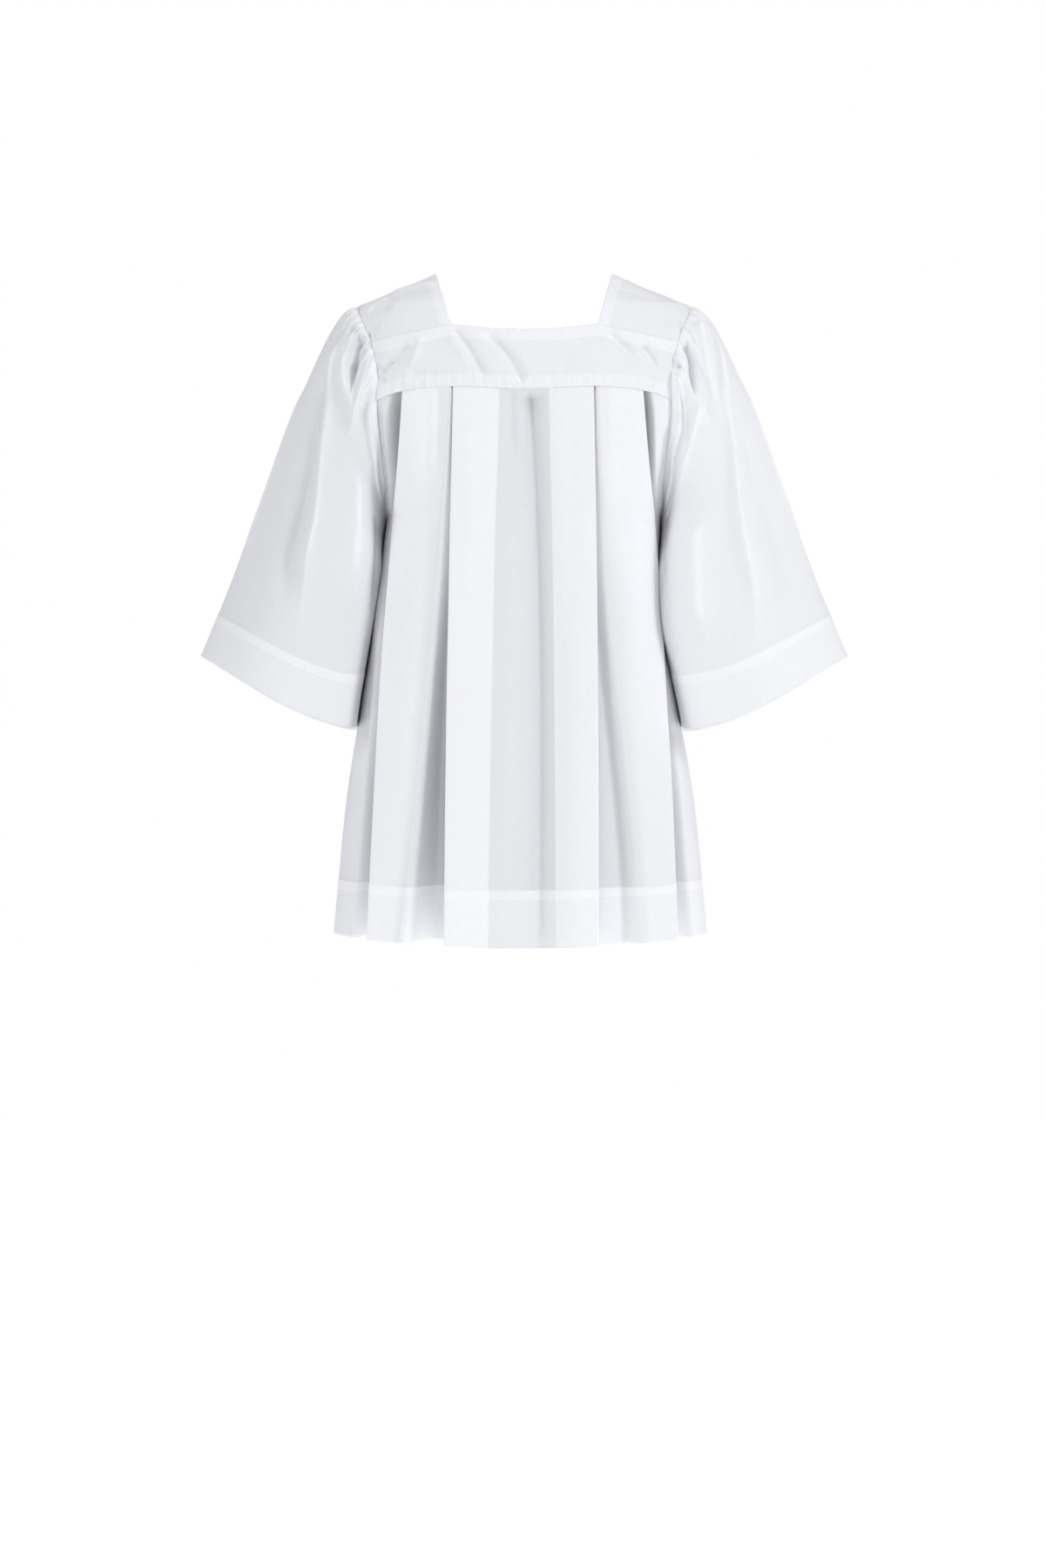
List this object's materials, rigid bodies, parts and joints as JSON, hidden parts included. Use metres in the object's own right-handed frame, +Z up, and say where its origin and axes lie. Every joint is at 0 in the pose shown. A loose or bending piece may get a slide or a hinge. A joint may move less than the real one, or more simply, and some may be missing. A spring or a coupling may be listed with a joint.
{
  "type": "surplice",
  "caption": "White square-necked surplice in its worn hollow shape, with yokes and shoulder straps, knife-pleated back and front panels, and wide bell sleeves gathered into the armholes.",
  "frame": {"origin": "midway between the two shoulder straps, where the shoulders carry the garment", "axes": "+Z up, +X towards the right side as worn, +Y towards the front as worn"},
  "size_m": [0.6752, 0.3112, 0.6987],
  "materials": {
    "white_cotton": "matte, fine plain weave, slightly see-through where it is one layer"
  },
  "bodies": {
    "root": {"yoke_back": "white_cotton", "yoke_front": "white_cotton", "body_back": "white_cotton", "body_front": "white_cotton", "strap_right": "white_cotton", "sleeve_right": "white_cotton", "strap_left": "white_cotton", "sleeve_left": "white_cotton"}
  },
  "joints": []
}
